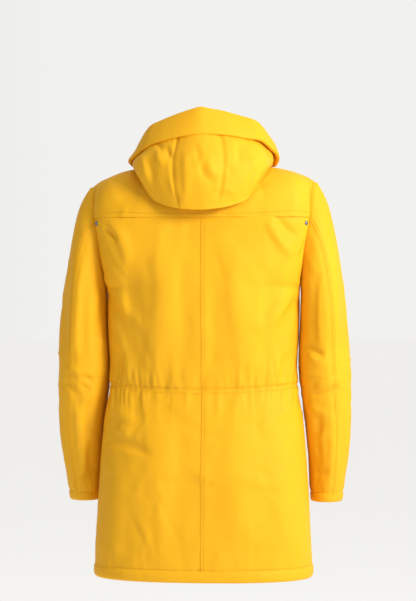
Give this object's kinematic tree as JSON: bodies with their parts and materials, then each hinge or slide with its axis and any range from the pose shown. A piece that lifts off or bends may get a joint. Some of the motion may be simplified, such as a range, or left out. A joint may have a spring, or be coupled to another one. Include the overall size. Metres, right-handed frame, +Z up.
{
  "type": "hooded parka",
  "caption": "Long yellow hooded rain parka with a laid-back hood, back yoke, elastic waist casing, front zip under a studded storm flap and flap pockets.",
  "frame": {"origin": "the nape: the middle of the back neck seam's height, on the centre line, in the plane of the shoulder tips, at the level of the hang loop", "axes": "+Z up along the wearer's spine, +Y towards the back, +X towards the wearer's left"},
  "size_m": [0.6132, 0.3046, 0.9876],
  "materials": {
    "shell": "matte coated rain cloth, warm yellow",
    "lining": "matte quilted lining",
    "tape": "woven tape and webbing",
    "metal": "gunmetal"
  },
  "bodies": {
    "coat": {"back_yoke": "shell", "hem_band": "shell", "waist_casing": "shell", "waist_elastic": "tape", "back_lining": "lining", "collar_stand": "shell", "hang_loop": "tape", "back_upper_left": "shell", "back_skirt_left": "shell", "front_upper_left": "shell", "front_skirt_left": "shell", "front_lining_left": "lining", "zip_tape_left": "tape", "pocket_left": "shell", "rivet_left": "metal", "back_upper_right": "shell", "back_skirt_right": "shell", "front_upper_right": "shell", "front_skirt_right": "shell", "front_lining_right": "lining", "zip_tape_right": "tape", "pocket_right": "shell", "rivet_right": "metal", "flap_stud_1": "metal", "flap_stud_2": "metal", "flap_stud_3": "metal", "flap_stud_4": "metal", "flap_stud_5": "metal"},
    "hood": {"hood_centre": "shell", "hood_left": "shell", "hood_right": "shell", "hood_lining": "lining", "hood_brim": "shell", "hood_neck": "shell"},
    "slider": {"zip_slider": "metal"},
    "pull": {"zip_pull": "metal"},
    "storm_flap": {"storm_flap": "shell", "flap_cap_1": "metal", "flap_cap_2": "metal", "flap_cap_3": "metal", "flap_cap_4": "metal", "flap_cap_5": "metal"},
    "left_upper_sleeve": {"sleeve_top_upper_left": "shell", "sleeve_under_upper_left": "shell", "sleeve_elbow_left": "shell", "sleeve_lining_upper_left": "lining"},
    "left_forearm_sleeve": {"sleeve_top_lower_left": "shell", "sleeve_under_lower_left": "shell", "sleeve_lining_lower_left": "lining", "cuff_band_left": "shell"},
    "left_pocket_flap": {"pocket_flap_left": "shell"},
    "right_upper_sleeve": {"sleeve_top_upper_right": "shell", "sleeve_under_upper_right": "shell", "sleeve_elbow_right": "shell", "sleeve_lining_upper_right": "lining"},
    "right_forearm_sleeve": {"sleeve_top_lower_right": "shell", "sleeve_under_lower_right": "shell", "sleeve_lining_lower_right": "lining", "cuff_band_right": "shell"},
    "right_pocket_flap": {"pocket_flap_right": "shell"}
  },
  "joints": [
    {"name": "hood_raise", "type": "hinge", "parent": "coat", "child": "hood", "pos_m": [0, -0.108, -0.04], "axis": [1, 0, 0], "range_deg": [0, 55], "deforming": ["hood_neck"]},
    {"name": "zip_slide", "type": "slide", "parent": "coat", "child": "slider", "axis": [0, -0.0369, -0.9993], "range_m": [0, 0.74]},
    {"name": "zip_pull_swing", "type": "hinge", "parent": "slider", "child": "pull", "pos_m": [0, -0.11645, -0.02285], "axis": [-1, 0, 0], "range_deg": [0, 120]},
    {"name": "storm_flap_open", "type": "hinge", "parent": "coat", "child": "storm_flap", "pos_m": [0.031, -0.12815, -0.39968], "axis": [0, 0.0369, 0.9993], "range_deg": [0, 90]},
    {"name": "left_sleeve_raise", "type": "hinge", "parent": "coat", "child": "left_upper_sleeve", "pos_m": [0.237, 0, -0.048], "axis": [0, -1, 0], "range_deg": [0, 50]},
    {"name": "right_sleeve_raise", "type": "hinge", "parent": "coat", "child": "right_upper_sleeve", "pos_m": [-0.237, 0, -0.048], "axis": [0, 1, 0], "range_deg": [0, 50]},
    {"name": "left_elbow_bend", "type": "hinge", "parent": "left_upper_sleeve", "child": "left_forearm_sleeve", "pos_m": [0.2575, -0.012, -0.437], "axis": [-1, 0, 0], "range_deg": [0, 60], "deforming": ["sleeve_elbow_left"]},
    {"name": "right_elbow_bend", "type": "hinge", "parent": "right_upper_sleeve", "child": "right_forearm_sleeve", "pos_m": [-0.2575, -0.012, -0.437], "axis": [-1, 0, 0], "range_deg": [0, 60], "deforming": ["sleeve_elbow_right"]},
    {"name": "left_pocket_flap_lift", "type": "hinge", "parent": "coat", "child": "left_pocket_flap", "pos_m": [0.12825, -0.11293, -0.50239], "axis": [-0.897, -0.4421, 0], "range_deg": [0, 100]},
    {"name": "right_pocket_flap_lift", "type": "hinge", "parent": "coat", "child": "right_pocket_flap", "pos_m": [-0.12825, -0.11293, -0.50239], "axis": [-0.897, 0.4421, 0], "range_deg": [0, 100]}
  ]
}
